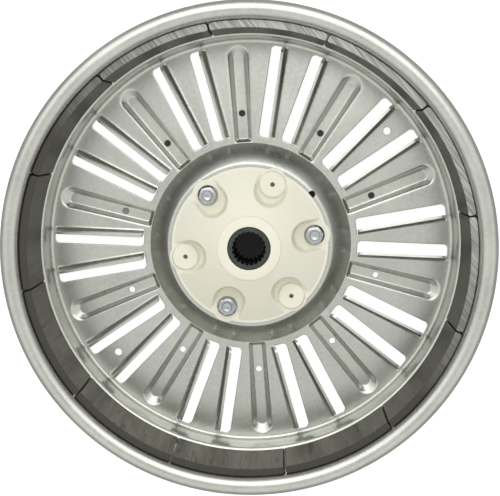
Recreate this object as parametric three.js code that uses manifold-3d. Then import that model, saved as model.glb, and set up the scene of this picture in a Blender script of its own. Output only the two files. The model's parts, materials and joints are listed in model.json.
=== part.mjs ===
// Outer rotor of a direct-drive motor: a pressed steel cup with twelve arc magnets round its wall and a
// plastic hub bushing that carries a splined steel insert.
// Millimetres. +Z is the axis of rotation and points out of the open side of the cup; z = 0 is the plane of
// the outer faces of the pressed ribs, which the rotor rests on. Angles are anticlockwise seen from +Z.
import * as THREE from 'three';
import { mergeVertices } from 'three/addons/utils/BufferGeometryUtils.js';
import Module from 'manifold-3d';

const wasm = await Module();
wasm.setup();

// ---- driving dimensions -----------------------------------------------------------------------------
const GAP = 0.3; // clearance wherever one piece rests on or passes through another
const SHEET = 1.6; // thickness of the pressed sheet
const EDGE_BREAK = 0.4; // small chamfer on turned and moulded edges
const OVER = 1.0; // how far a cutting body runs past the face it cuts
const LAP = 0.2; // the same for cones and crowns, where more would change the cut's shape
const MERGE = 0.5; // how deep an added body runs into the one it joins
const SMALL_STEPS = 2; // facets of the smallest rounds
const ROUND_STEPS = 3; // facets of the others

// cup
const CUP_SEGMENTS = 72;
const BASE_IN = 5.2; // inner face of the flat base
const BASE_OUT = BASE_IN - SHEET;
const WALL_R = 137.8; // inner face of the wall behind the magnets
const LOWER_WALL_R = 131.3; // inner face of the narrower wall below the magnets
const LEDGE_Z = 23.6; // inner face of the ledge that the magnets stand on
const LEDGE_ROUND = 3.0;
const CORNER_ROUND = 2.2; // between base and lower wall
const LIP_ROUND = 5.05; // outer radius of the rolled lip's section
const LIP_Z = 60.5; // centre of that section
const LIP_SKIRT = 2.6; // straight part of the lip that hangs outside
const LIP_STEPS = 6;
const LIP_STEPS_IN = 4; // on the inner side of the sheet

// hub part of the cup
const PLATEAU_IN = 14.5; // inner face of the raised middle
const PLATEAU_OUT = PLATEAU_IN - SHEET;
// inner face of the hub wall as [r, z]: a rounded shoulder that steepens down to the base
const HUB_WALL = [[51.9, PLATEAU_IN], [53.8, 13.8], [57.6, 11.8], [61.6, 8.8], [65.4, BASE_IN]];
const PILOT_HOLE_R = 22.0;
const SIGHT_HOLE = { r: 51.3, radius: 2.3 }; // half covered by the bushing

// ribs and slots of the base
const RIBS = 10;
const RIB_ANGLE = 90;
const RIB_FLOOR_IN = SHEET;
// start at the hub, half widths at the two ends, where the round end starts and how far it bulges
const RIB_TOP = { start: 65.8, hub: 5.5, rim: 6.5, end: 120.8, bulge: 6.3 };
const RIB_FLOOR = { start: 67.7, hub: 3.0, rim: 3.5, end: 119.8, bulge: 2.4 };
const RIB_WALL_OFFSET = 0.78; // sheet thickness carried round the bends of a rib's side
const RIB_END_STEPS = 6;
const RIB_JOIN = 0.6; // how far a rib's inner body runs above the base
const DRAIN_HOLE = { r: 84.5, radius: 2.0 };
// a slot runs from where its fin's bend starts, on the clockwise side, to its free edge
const SLOT = { inner: 69.6, outer: 127.6, bendSide: -6.05, freeSide: 4.75, round: 2.5, lance: 0.3 };
const SLOT_OFFSETS = [12, 24]; // from each rib
const FIN = { inner: 70.0, outer: 127.2, top: 13.2, round: 2.5, bend: 1.5, angle: 79 };
const FIN_REACH = 8.0; // half the depth of the blank that rounds a fin's corners
const TOOLING_HOLE = { r: 114.0, radius: 2.5 };

// magnets
const MAGNETS = 12;
const MAGNET_IN = 133.0;
const MAGNET_OUT = 137.5;
const MAGNET_TOP = 60.7;
const MAGNET_SPACE = 1.0; // between neighbours
const MAGNET_ARC_STEPS = 7;
const MAGNET_CORNER_IN = 0.8;
const MAGNET_CORNER_OUT = 1.6;
const MAGNET_CORNER_EASE = 0.48; // small facet between the outer face and its corner

// hub bushing
const HUB_SEGMENTS = 48;
const DISC_R = 50.3;
const DISC_EDGE_Z = 17.0;
const COLLAR_R = 19.4;
const COLLAR_TOP = 33.8;
const COLLAR_STEP = 0.8;
const CONE_KNEE = { r: 23.4, z: 31.1 }; // the cone is flatter above it
const FIXING_R = 41.8; // circle of the bolts and of the pegs
const BOLT_ANGLES = [-30, 90, 210];
const PEG_ANGLES = [30, 150, 270];
const LOBE = { r: 42.8, radius: 9.4 };
const BOLT_POCKET = { floor: 17.2, centre: 37.6, radius: 8.3 };
const PEG_POCKET = { floor: 17.8, centre: 38.4, radius: 8.6 };
const POCKET_DRAFT = 0.9; // growth of a pocket's radius up to the cone
const POCKET_TOP = 34.5;
const POCKET_STEPS = 10;
const PEG_BOSS = { radius: 7.9, top: 19.5 };
const PEG = { radius: 4.0, bottom: 10.8, core: 1.5, coreFloor: 12.6 };
const PILOT = { radius: PILOT_HOLE_R - GAP, bottom: 9.2 };
const TAIL = { radius: 17.6, bottom: 3.6 };

// splined insert
const INSERT_SEGMENTS = 42;
const INSERT_R = 13.3;
const INSERT_BLANK_R = 7.4; // bore of the blank before its teeth are cut
const INSERT_BOTTOM = 2.4;
const INSERT_COLLAR = { radius: 16.0, bottom: 16.0, top: 23.0 };
const TEETH = 21;
const TOOTH_TIP_R = 9.4;
const TOOTH_ROOT_R = 10.7;
const TOOTH_ROOT_SHARE = 0.24; // half width of a root, as a share of the pitch
const TOOTH_TIP_SHARE = 0.13; // half width of a tip, likewise
const MOUTH = 0.9; // lead-in chamfer of the bore

// bolts and nuts
const SHANK_R = 2.9;
const SHANK_CHAMFER = 0.7;
const FASTENER_SEGMENTS = 18;
const HOLE_SEGMENTS = 14;
const ACROSS_FLATS = 10.0;
const FLANGE = { radius: 6.6, edge: 0.7, neck: 5.4, height: 1.6 };
const HEAD_HEIGHT = 4.4;
const HEAD_DIMPLE = { radius: 3.1, depth: 0.7, slope: 0.6 };
const HEX_CHAMFER = 0.55;
const NUT_HEIGHT = 5.0;
const BOLT_END = 6.0;
const HOLE_R = SHANK_R + GAP;

const FINISH = {
  zinc_sheet: { color: 0xb2b6ae, roughness: 0.38, metalness: 0.85 },
  ferrite: { color: 0x55534f, roughness: 0.6, metalness: 0.2 },
  cream_plastic: { color: 0xe4dfc8, roughness: 0.5, metalness: 0.0 },
  dark_steel: { color: 0x4a4f4c, roughness: 0.45, metalness: 0.7 },
  zinc_bolt: { color: 0xb6bcc2, roughness: 0.3, metalness: 0.9 },
};

// ---- small tools ------------------------------------------------------------------------------------
const rad = THREE.MathUtils.degToRad;
const count = (n) => Array.from({ length: n }, (_, i) => i);

/** Points of an arc about (cx, cy) from one angle to another, ends included, as [x, y] pairs. */
function arc(cx, cy, radius, from, to, steps) {
  return count(steps + 1).map((i) => {
    const a = rad(from + ((to - from) * i) / steps);
    return [cx + radius * Math.cos(a), cy + radius * Math.sin(a)];
  });
}

/** Closed (r, z) section turned about the Z axis. */
function revolve(section, segments) {
  const points = section.map(([r, z]) => new THREE.Vector2(r, z));
  if (THREE.ShapeUtils.area(points) < 0) points.reverse();
  points.push(points[0].clone());
  return new THREE.LatheGeometry(points, segments).rotateX(Math.PI / 2);
}

/** Closed body through a stack of outlines with equally many [x, y] points, given as { z, outline }. */
function loft(layers) {
  const n = layers[0].outline.length;
  const position = layers.flatMap(({ z, outline }) => outline.flatMap(([x, y]) => [x, y, z]));
  const index = [];
  for (const k of count(layers.length - 1)) {
    for (const i of count(n)) {
      const a = k * n + i;
      const b = k * n + ((i + 1) % n);
      index.push(a, b, b + n, a, b + n, a + n);
    }
  }
  const cap = (layer) => THREE.ShapeUtils.triangulateShape(
    layer.outline.map(([x, y]) => new THREE.Vector2(x, y)),
    [],
  );
  const last = (layers.length - 1) * n;
  for (const [a, b, c] of cap(layers[0])) index.push(c, b, a);
  for (const [a, b, c] of cap(layers.at(-1))) index.push(a + last, b + last, c + last);
  const geometry = new THREE.BufferGeometry();
  geometry.setAttribute('position', new THREE.Float32BufferAttribute(position, 3));
  geometry.setIndex(index);
  return geometry;
}

/** The same outline at two heights. */
const prism = (outline, bottom, top) => loft([{ z: bottom, outline }, { z: top, outline }]);

/** Upright cylinder about (x, y). */
function cylinder(x, y, radius, bottom, top, segments = HOLE_SEGMENTS) {
  return prism(arc(x, y, radius, 0, 360, segments).slice(0, segments), bottom, top);
}

/** Upright cylinder on a circle of radius r about the axis. */
const cylinderAt = (r, angle, radius, bottom, top) =>
  cylinder(r * Math.cos(rad(angle)), r * Math.sin(rad(angle)), radius, bottom, top);

/** Geometry as a Manifold, without its seam and without the triangles that collapse on the axis. */
function solid(geometry) {
  const bare = geometry.clone();
  bare.deleteAttribute('normal');
  bare.deleteAttribute('uv');
  const merged = mergeVertices(bare, 1e-4);
  const index = merged.index.array;
  const kept = [];
  for (let i = 0; i < index.length; i += 3) {
    const [a, b, c] = [index[i], index[i + 1], index[i + 2]];
    if (a !== b && b !== c && c !== a) kept.push(a, b, c);
  }
  return new wasm.Manifold(new wasm.Mesh({
    numProp: 3,
    vertProperties: new Float32Array(merged.attributes.position.array),
    triVerts: new Uint32Array(kept),
  }));
}

/** A Manifold back as geometry, flat shaded. */
function geometryOf(manifold) {
  const mesh = manifold.getMesh();
  const geometry = new THREE.BufferGeometry();
  geometry.setAttribute('position', new THREE.Float32BufferAttribute(mesh.vertProperties, 3));
  geometry.setIndex(Array.from(mesh.triVerts));
  const flat = geometry.toNonIndexed();
  flat.computeVertexNormals();
  return flat;
}

const group = new THREE.Group();
group.name = 'direct_drive_rotor';

function addPiece(name, manifold, finish) {
  const material = new THREE.MeshStandardMaterial({ name: finish, ...FINISH[finish] });
  const mesh = new THREE.Mesh(geometryOf(manifold), material);
  mesh.name = name;
  group.add(mesh);
  return mesh;
}

// ---- rotor frame ------------------------------------------------------------------------------------
/** Points of a section moved one sheet thickness to their right, each one square to the bend it lies on. */
function otherFace(points) {
  return points.slice(1, -1).map(([r, z], i) => {
    const before = new THREE.Vector2(r - points[i][0], z - points[i][1]).normalize();
    const after = new THREE.Vector2(points[i + 2][0] - r, points[i + 2][1] - z).normalize();
    const square = new THREE.Vector2(before.y + after.y, -before.x - after.x).normalize();
    const distance = SHEET / (square.x * before.y - square.y * before.x);
    return [r + square.x * distance, z + square.y * distance];
  });
}

function cupSection() {
  const lipCentre = WALL_R + LIP_ROUND;
  const outerWall = WALL_R + SHEET;
  const lowerOuter = LOWER_WALL_R + SHEET;
  const cornerR = LOWER_WALL_R - CORNER_ROUND;
  const cornerZ = BASE_IN + CORNER_ROUND;
  const ledgeR = LOWER_WALL_R + LEDGE_ROUND;
  const ledgeZ = LEDGE_Z - LEDGE_ROUND;
  return [
    [PILOT_HOLE_R, PLATEAU_IN],
    ...HUB_WALL,
    ...arc(cornerR, cornerZ, CORNER_ROUND, -90, 0, SMALL_STEPS),
    ...arc(ledgeR, ledgeZ, LEDGE_ROUND, 180, 90, ROUND_STEPS),
    [WALL_R, LEDGE_Z],
    ...arc(lipCentre, LIP_Z, LIP_ROUND, 180, 0, LIP_STEPS),
    [lipCentre + LIP_ROUND, LIP_Z - LIP_SKIRT],
    [lipCentre + LIP_ROUND - SHEET, LIP_Z - LIP_SKIRT],
    ...arc(lipCentre, LIP_Z, LIP_ROUND - SHEET, 0, 180, LIP_STEPS_IN),
    ...arc(outerWall - SHEET, LEDGE_Z, SHEET, 0, -90, SMALL_STEPS),
    ...arc(ledgeR, ledgeZ, LEDGE_ROUND - SHEET, 90, 180, SMALL_STEPS),
    ...arc(cornerR, cornerZ, CORNER_ROUND + SHEET, 0, -90, ROUND_STEPS),
    ...otherFace([[PILOT_HOLE_R, PLATEAU_IN], ...HUB_WALL, [cornerR, BASE_IN]]).reverse(),
    [PILOT_HOLE_R, PLATEAU_OUT],
  ];
}

/** Outline of a rib along +X: square at the hub, half an ellipse at the rim. grow widens it all round. */
function ribOutline(size, grow) {
  const start = size.start - grow;
  const rim = size.rim + grow;
  const hub = size.hub + grow;
  return [
    [start, hub],
    [start, -hub],
    ...arc(0, 0, 1, -90, 90, RIB_END_STEPS).map(([x, y]) => [size.end + x * (size.bulge + grow), y * rim]),
  ];
}

function ribOutside() {
  return loft([
    { z: 0, outline: ribOutline(RIB_FLOOR, RIB_WALL_OFFSET) },
    { z: BASE_OUT, outline: ribOutline(RIB_TOP, RIB_WALL_OFFSET) },
    { z: BASE_OUT + SHEET / 2, outline: ribOutline(RIB_TOP, RIB_WALL_OFFSET) },
  ]);
}

function ribInside() {
  return loft([
    { z: RIB_FLOOR_IN, outline: ribOutline(RIB_FLOOR, 0) },
    { z: BASE_IN, outline: ribOutline(RIB_TOP, 0) },
    { z: BASE_IN + RIB_JOIN, outline: ribOutline(RIB_TOP, 0) },
  ]);
}

/** Slot along +X: sharp lanced corners on the fin's side, round ones on the other. */
function slotOutline() {
  const { inner, outer, bendSide, freeSide, round, lance } = SLOT;
  return [
    ...arc(inner + lance, bendSide + lance, lance, 180, 270, SMALL_STEPS),
    ...arc(outer - lance, bendSide + lance, lance, -90, 0, SMALL_STEPS),
    ...arc(outer - round, freeSide - round, round, 0, 90, ROUND_STEPS),
    ...arc(inner + round, freeSide - round, round, 90, 180, ROUND_STEPS),
  ];
}

/**
 * Cooling fin lanced out of the slot and bent up along its clockwise side. Its (y, z) section leaves the base
 * flat, turns through the bend's angle and runs on straight; it is carried along x, and its two top corners
 * are rounded off.
 */
function fin() {
  const { inner, outer, top, round, bend, angle } = FIN;
  const centre = BASE_IN + bend;
  const turn = (radius, steps) => arc(SLOT.bendSide, centre, radius, -90, angle - 90, steps);
  const underside = turn(bend + SHEET, ROUND_STEPS);
  const upperside = turn(bend, ROUND_STEPS);
  const [y, z] = underside.at(-1);
  const tip = [y + (top - z) / Math.tan(rad(angle)), top];
  const thickness = [-SHEET * Math.sin(rad(angle)), SHEET * Math.cos(rad(angle))];
  const overlap = SHEET / 2;
  const section = [
    [SLOT.bendSide - overlap, BASE_OUT],
    ...underside,
    tip,
    [tip[0] + thickness[0], tip[1] + thickness[1]],
    ...upperside.reverse(),
    [SLOT.bendSide - overlap, BASE_IN],
  ];
  const shape = (points) => new THREE.Shape(points.map(([a, b]) => new THREE.Vector2(a, b)));
  // the section's first number becomes y, its second z, and the depth becomes x
  const alongX = new THREE.Matrix4().makeBasis(
    new THREE.Vector3(0, 1, 0),
    new THREE.Vector3(0, 0, 1),
    new THREE.Vector3(1, 0, 0),
  );
  const strip = new THREE.ExtrudeGeometry(shape(section), { depth: outer - inner, bevelEnabled: false })
    .applyMatrix4(alongX)
    .translate(inner, 0, 0);
  const crown = tip[1] + thickness[1] + LAP;
  const side = shape([
    [inner - OVER, BASE_OUT - OVER],
    [outer + OVER, BASE_OUT - OVER],
    [outer + OVER, BASE_IN + OVER],
    ...arc(outer - round, crown - round, round, 0, 90, SMALL_STEPS),
    ...arc(inner + round, crown - round, round, 90, 180, SMALL_STEPS),
    [inner - OVER, BASE_IN + OVER],
  ]);
  const blank = new THREE.ExtrudeGeometry(side, { depth: 2 * FIN_REACH, bevelEnabled: false })
    .rotateX(Math.PI / 2)
    .translate(0, FIN_REACH, 0);
  return geometryOf(solid(strip).intersect(solid(blank)));
}

function rotorFrame() {
  let frame = solid(revolve(cupSection(), CUP_SEGMENTS));
  const outside = ribOutside();
  const inside = ribInside();
  const slot = prism(slotOutline(), -OVER, BASE_IN + OVER);
  const bentFin = fin();
  for (const k of count(RIBS)) {
    const angle = RIB_ANGLE + (360 / RIBS) * k;
    frame = frame.add(solid(outside.clone().rotateZ(rad(angle))));
    frame = frame.subtract(solid(inside.clone().rotateZ(rad(angle))));
    frame = frame.subtract(solid(cylinderAt(DRAIN_HOLE.r, angle, DRAIN_HOLE.radius, -OVER, BASE_IN)));
    for (const offset of SLOT_OFFSETS) {
      const turn = rad(angle + offset);
      frame = frame.subtract(solid(slot.clone().rotateZ(turn)));
      frame = frame.add(solid(bentFin.clone().rotateZ(turn)));
    }
  }
  const through = [BASE_OUT - OVER, PLATEAU_IN + OVER];
  const holes = [
    ...[0, 180].map((a) => [TOOLING_HOLE.r, a, TOOLING_HOLE.radius]),
    [SIGHT_HOLE.r, 0, SIGHT_HOLE.radius],
    ...BOLT_ANGLES.map((a) => [FIXING_R, a, HOLE_R]),
    ...PEG_ANGLES.map((a) => [FIXING_R, a, PEG.radius + GAP]),
  ];
  for (const [r, angle, radius] of holes) {
    frame = frame.subtract(solid(cylinderAt(r, angle, radius, ...through)));
  }
  return frame;
}

addPiece('rotor_frame', rotorFrame(), 'zinc_sheet');

// ---- magnets ----------------------------------------------------------------------------------------
function magnet() {
  const halfAngle = (r) => 180 / MAGNETS - (Math.asin(MAGNET_SPACE / 2 / r) * 180) / Math.PI;
  const corner = (length, r) => ((length / r) * 180) / Math.PI;
  const at = (r, deg) => [r * Math.cos(rad(deg)), r * Math.sin(rad(deg))];
  const innerEdge = halfAngle(MAGNET_IN);
  const outerEdge = halfAngle(MAGNET_OUT);
  const innerArc = innerEdge - corner(MAGNET_CORNER_IN, MAGNET_IN);
  const outerArc = outerEdge - corner(MAGNET_CORNER_OUT, MAGNET_OUT);
  const oneEnd = [
    at(MAGNET_OUT - MAGNET_CORNER_EASE, outerEdge - corner(MAGNET_CORNER_EASE, MAGNET_OUT)),
    at(MAGNET_OUT - MAGNET_CORNER_OUT, halfAngle(MAGNET_OUT - MAGNET_CORNER_OUT)),
    at(MAGNET_IN + MAGNET_CORNER_IN, halfAngle(MAGNET_IN + MAGNET_CORNER_IN)),
  ];
  const outline = [
    ...arc(0, 0, MAGNET_OUT, -outerArc, outerArc, MAGNET_ARC_STEPS),
    ...oneEnd,
    ...arc(0, 0, MAGNET_IN, innerArc, -innerArc, MAGNET_ARC_STEPS),
    ...oneEnd.map(([x, y]) => [x, -y]).reverse(),
  ];
  return solid(prism(outline, LEDGE_Z + GAP, MAGNET_TOP));
}

for (const k of count(MAGNETS)) {
  const name = `magnet_${String(k + 1).padStart(2, '0')}`;
  addPiece(name, magnet(), 'ferrite').rotation.z = rad((360 / MAGNETS) * (k + 0.5));
}

// ---- hub bushing ------------------------------------------------------------------------------------
/** Pocket along +X: a half circle towards the axis with straight sides that run out past the disc's edge. */
function pocket({ floor, centre, radius }) {
  const end = LOBE.r + LOBE.radius + OVER;
  const outline = (grow) => [
    ...arc(centre, 0, radius + grow, 90, 270, POCKET_STEPS),
    [end, -radius - grow],
    [end, radius + grow],
  ];
  return loft([{ z: floor, outline: outline(0) }, { z: POCKET_TOP, outline: outline(POCKET_DRAFT) }]);
}

function hubBushing() {
  const underside = PLATEAU_IN + GAP;
  const grooveR = INSERT_COLLAR.radius + GAP;
  let hub = solid(revolve([
    [INSERT_R + GAP, TAIL.bottom],
    [TAIL.radius - EDGE_BREAK, TAIL.bottom],
    [TAIL.radius, TAIL.bottom + EDGE_BREAK],
    [TAIL.radius, PILOT.bottom],
    [PILOT.radius - EDGE_BREAK, PILOT.bottom],
    [PILOT.radius, PILOT.bottom + EDGE_BREAK],
    [PILOT.radius, underside],
    [DISC_R, underside],
    [DISC_R, DISC_EDGE_Z - EDGE_BREAK],
    [DISC_R - EDGE_BREAK, DISC_EDGE_Z],
    [CONE_KNEE.r, CONE_KNEE.z],
    [COLLAR_R, COLLAR_TOP - COLLAR_STEP],
    [COLLAR_R, COLLAR_TOP - EDGE_BREAK],
    [COLLAR_R - EDGE_BREAK, COLLAR_TOP],
    [INSERT_R + GAP, COLLAR_TOP],
    [INSERT_R + GAP, INSERT_COLLAR.top + GAP],
    [grooveR, INSERT_COLLAR.top + GAP],
    [grooveR, INSERT_COLLAR.bottom - GAP],
    [INSERT_R + GAP, INSERT_COLLAR.bottom - GAP],
  ], HUB_SEGMENTS));
  const pads = [
    ...BOLT_ANGLES.map((angle) => ({ angle, form: BOLT_POCKET })),
    ...PEG_ANGLES.map((angle) => ({ angle, form: PEG_POCKET })),
  ];
  for (const { angle, form } of pads) {
    hub = hub.subtract(solid(pocket(form).rotateZ(rad(angle))));
    hub = hub.add(solid(cylinderAt(LOBE.r, angle, LOBE.radius, underside, form.floor)));
  }
  for (const angle of PEG_ANGLES) {
    const low = underside + MERGE;
    hub = hub.add(solid(cylinderAt(FIXING_R, angle, PEG_BOSS.radius, low, PEG_BOSS.top)));
    hub = hub.add(solid(cylinderAt(FIXING_R, angle, PEG.radius, PEG.bottom, low)));
    hub = hub.subtract(solid(cylinderAt(FIXING_R, angle, PEG.core, PEG.coreFloor, POCKET_TOP)));
  }
  for (const angle of BOLT_ANGLES) {
    hub = hub.subtract(solid(cylinderAt(FIXING_R, angle, HOLE_R, underside - OVER, POCKET_TOP)));
  }
  return hub;
}

addPiece('hub_bushing', hubBushing(), 'cream_plastic');

// ---- splined insert ---------------------------------------------------------------------------------
function splinedInsert() {
  const body = solid(revolve([
    [INSERT_BLANK_R, INSERT_BOTTOM],
    [INSERT_R - EDGE_BREAK, INSERT_BOTTOM],
    [INSERT_R, INSERT_BOTTOM + EDGE_BREAK],
    [INSERT_R, INSERT_COLLAR.bottom],
    [INSERT_COLLAR.radius, INSERT_COLLAR.bottom],
    [INSERT_COLLAR.radius, INSERT_COLLAR.top],
    [INSERT_R, INSERT_COLLAR.top],
    [INSERT_R, COLLAR_TOP],
    [INSERT_BLANK_R, COLLAR_TOP],
  ], INSERT_SEGMENTS));
  const pitch = 360 / TEETH;
  const toothOutline = count(TEETH).flatMap((k) => [
    [TOOTH_ROOT_R, -TOOTH_ROOT_SHARE],
    [TOOTH_ROOT_R, TOOTH_ROOT_SHARE],
    [TOOTH_TIP_R, 0.5 - TOOTH_TIP_SHARE],
    [TOOTH_TIP_R, 0.5 + TOOTH_TIP_SHARE],
  ].map(([r, share]) => {
    const a = rad((k + share) * pitch);
    return [r * Math.cos(a), r * Math.sin(a)];
  }));
  const bore = solid(prism(toothOutline, INSERT_BOTTOM - OVER, COLLAR_TOP + OVER));
  const mouth = (z, sign) => {
    const small = arc(0, 0, TOOTH_TIP_R - LAP, 0, 360, INSERT_SEGMENTS).slice(0, -1);
    const large = arc(0, 0, TOOTH_TIP_R + MOUTH + LAP, 0, 360, INSERT_SEGMENTS).slice(0, -1);
    const layers = [{ z: z - sign * (MOUTH + LAP), outline: small }, { z: z + sign * LAP, outline: large }];
    return solid(loft(sign > 0 ? layers : layers.reverse()));
  };
  return body.subtract(bore).subtract(mouth(COLLAR_TOP, 1)).subtract(mouth(INSERT_BOTTOM, -1));
}

addPiece('splined_insert', splinedInsert(), 'dark_steel');

// ---- bolts and nuts ---------------------------------------------------------------------------------
/** Hexagon from one height to another with its corners turned off at the top or bottom. */
function hexagon(bottom, top, chamferTop, chamferBottom) {
  const corner = ACROSS_FLATS / Math.sqrt(3);
  const hex = solid(prism(arc(0, 0, corner, 0, 360, 6).slice(0, 6), bottom, top));
  const low = chamferBottom ? HEX_CHAMFER : 0;
  const high = chamferTop ? HEX_CHAMFER : 0;
  const turned = [
    [0, bottom],
    [corner - 2 * low, bottom],
    [corner, bottom + low],
    [corner, top - high],
    [corner - 2 * high, top],
    [0, top],
  ];
  return hex.intersect(solid(revolve(turned, FASTENER_SEGMENTS)));
}

/** Flange disc that spreads from a hexagon's foot; the seat is at the given height, facing down or up. */
function flange(seat, direction) {
  return solid(revolve([
    [0, seat],
    [FLANGE.radius, seat],
    [FLANGE.radius, seat + direction * FLANGE.edge],
    [FLANGE.neck, seat + direction * FLANGE.height],
    [0, seat + direction * FLANGE.height],
  ], FASTENER_SEGMENTS));
}

function bolt() {
  const seat = BOLT_POCKET.floor + GAP;
  const top = seat + HEAD_HEIGHT;
  const shank = solid(revolve([
    [0, BOLT_END],
    [SHANK_R - SHANK_CHAMFER, BOLT_END],
    [SHANK_R, BOLT_END + SHANK_CHAMFER],
    [SHANK_R, seat + MERGE],
    [0, seat + MERGE],
  ], FASTENER_SEGMENTS));
  const dimple = solid(revolve([
    [0, top - HEAD_DIMPLE.depth],
    [HEAD_DIMPLE.radius - HEAD_DIMPLE.slope, top - HEAD_DIMPLE.depth],
    [HEAD_DIMPLE.radius, top],
    [HEAD_DIMPLE.radius, top + OVER],
    [0, top + OVER],
  ], FASTENER_SEGMENTS));
  return hexagon(seat + MERGE, top, true, false).add(flange(seat, 1)).add(shank).subtract(dimple);
}

function nut() {
  const seat = PLATEAU_OUT - GAP;
  const body = hexagon(seat - NUT_HEIGHT, seat - MERGE, false, true).add(flange(seat, -1));
  return body.subtract(solid(cylinder(0, 0, HOLE_R, seat - NUT_HEIGHT - OVER, seat + OVER)));
}

for (const [k, angle] of BOLT_ANGLES.entries()) {
  for (const piece of [
    addPiece(`hub_bolt_${k + 1}`, bolt(), 'zinc_bolt'),
    addPiece(`hub_nut_${k + 1}`, nut(), 'zinc_bolt'),
  ]) {
    piece.position.set(FIXING_R * Math.cos(rad(angle)), FIXING_R * Math.sin(rad(angle)), 0);
    piece.rotation.z = rad(angle);
  }
}

export default group;
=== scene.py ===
"""Outer rotor of a direct-drive motor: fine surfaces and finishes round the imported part.

Metres, in the part's own frame: +Z is the axis of rotation and leaves through the open side of the cup, and
z = 0 is the plane that the pressed ribs rest on. Sizes in the tables below are millimetres.
"""

import json
import math

import bmesh
import bpy
import numpy as np
from bpy.props import FloatProperty, FloatVectorProperty, PointerProperty
from mathutils import Matrix, Vector


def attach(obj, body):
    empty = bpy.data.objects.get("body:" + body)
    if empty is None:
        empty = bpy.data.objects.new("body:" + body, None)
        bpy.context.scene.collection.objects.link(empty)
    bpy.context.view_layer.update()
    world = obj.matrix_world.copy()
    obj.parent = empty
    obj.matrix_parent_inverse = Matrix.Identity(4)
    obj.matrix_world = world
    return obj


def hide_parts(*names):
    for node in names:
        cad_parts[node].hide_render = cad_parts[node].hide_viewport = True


bl_info = {
    "name": "Direct-drive rotor",
    "version": (1, 0, 0),
    "blender": (4, 5, 0),
    "location": "3D View > Sidebar > Rotor",
    "description": "Builds the rotor's pressed cup, magnets, hub and bolts, and their studio",
    "category": "Object",
}

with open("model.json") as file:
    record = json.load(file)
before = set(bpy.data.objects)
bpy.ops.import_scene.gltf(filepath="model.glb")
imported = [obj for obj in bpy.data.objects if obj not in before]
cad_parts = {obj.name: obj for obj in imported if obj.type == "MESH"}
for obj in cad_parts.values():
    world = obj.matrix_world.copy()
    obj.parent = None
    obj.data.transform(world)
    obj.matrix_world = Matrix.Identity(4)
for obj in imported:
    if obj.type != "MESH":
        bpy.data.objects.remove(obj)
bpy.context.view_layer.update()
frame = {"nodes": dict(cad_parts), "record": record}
MM = 0.001
SEAM = 2e-6  # points closer than this are one
BODY = "root"


# ---- materials ------------------------------------------------------------


def feed(tree, socket, value):
    """Links a node's input to another socket, or gives it a plain value."""
    if isinstance(value, bpy.types.NodeSocket):
        tree.links.new(value, socket)
    else:
        socket.default_value = value


def node(tree, kind, x, y, **values):
    """Adds a shader node, sets its properties, and feeds its inputs where a value's name is one of them."""
    made = tree.nodes.new(kind)
    made.location = (x, y)
    for key, value in values.items():
        if hasattr(made, key):
            setattr(made, key, value)
        else:
            feed(tree, made.inputs[key.replace("_", " ")], value)
    return made


def maths(tree, operation, x, y, *values):
    """Result of a Math node on sockets or plain numbers."""
    made = node(tree, "ShaderNodeMath", x, y, operation=operation)
    for socket, value in zip(made.inputs, values):
        feed(tree, socket, value)
    return made.outputs[0]


def noise(tree, x, y, **values):
    """Value of a noise texture."""
    return node(tree, "ShaderNodeTexNoise", x, y, **values).outputs["Fac"]


def along(tree, source, direction, x, y):
    """How far a vector reaches in a direction: their dot product."""
    made = node(tree, "ShaderNodeVectorMath", x, y, operation="DOT_PRODUCT", Vector=source)
    made.inputs[1].default_value = direction
    return made.outputs["Value"]


def object_place(tree, x, y):
    """Object coordinates, their three values, and the angle about the axis in radians."""
    place = node(tree, "ShaderNodeTexCoord", x, y).outputs["Object"]
    parts = node(tree, "ShaderNodeSeparateXYZ", x + 200, y, Vector=place).outputs
    return place, parts, maths(tree, "ARCTAN2", x + 400, y, parts["Y"], parts["X"])


def new_group(name, inputs, outputs):
    """A shader node group, with inputs given as (name, kind, default) and outputs as (name, kind)."""
    tree = bpy.data.node_groups.new(name, "ShaderNodeTree")
    for label, kind, default in inputs:
        socket = tree.interface.new_socket(name=label, in_out="INPUT", socket_type=f"NodeSocket{kind}")
        socket.default_value = default
    for label, kind in outputs:
        tree.interface.new_socket(name=label, in_out="OUTPUT", socket_type=f"NodeSocket{kind}")
    return tree


CLOUD_HEIGHT = 0.35  # share of the clouds in the grain's height


def grain_group():
    """Crystal grain of a coated sheet or a fine moulding: fine speckle, slow clouds, and a height that is the
    speckle plus a share of the clouds."""
    found = bpy.data.node_groups.get("surface_grain")
    if found:
        return found
    tree = new_group(
        "surface_grain",
        [("Scale", "Float", 900.0), ("Cloud Scale", "Float", 22.0)],
        [("Speckle", "Float"), ("Cloud", "Float"), ("Height", "Float")],
    )
    start = node(tree, "NodeGroupInput", -900, 0).outputs
    place = node(tree, "ShaderNodeTexCoord", -900, -250).outputs["Object"]
    fine = noise(tree, -500, 200, Vector=place, Scale=start["Scale"], Detail=3.0, Roughness=0.65)
    cloud = noise(tree, -500, -150, Vector=place, Scale=start["Cloud Scale"], Detail=4.0, Roughness=0.55)
    part = maths(tree, "MULTIPLY", -150, -250, cloud, CLOUD_HEIGHT)
    height = maths(tree, "ADD", 100, -250, fine, part)
    node(tree, "NodeGroupOutput", 500, 0, Speckle=fine, Cloud=cloud, Height=height)
    return tree


def new_material(name, **principled):
    """A material whose Principled shader has the given plain values; returns it with its tree and shader."""
    material = bpy.data.materials.new(name)
    material.use_nodes = True
    tree = material.node_tree
    tree.nodes.clear()
    out = node(tree, "ShaderNodeOutputMaterial", 900, 0)
    shader = node(tree, "ShaderNodeBsdfPrincipled", 600, 0)
    for key, value in principled.items():
        shader.inputs[key.replace("_", " ")].default_value = value
    tree.links.new(shader.outputs[0], out.inputs[0])
    material.diffuse_color = tuple(principled.get("Base_Color", (0.8, 0.8, 0.8, 1.0)))
    return material, tree, shader


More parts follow.
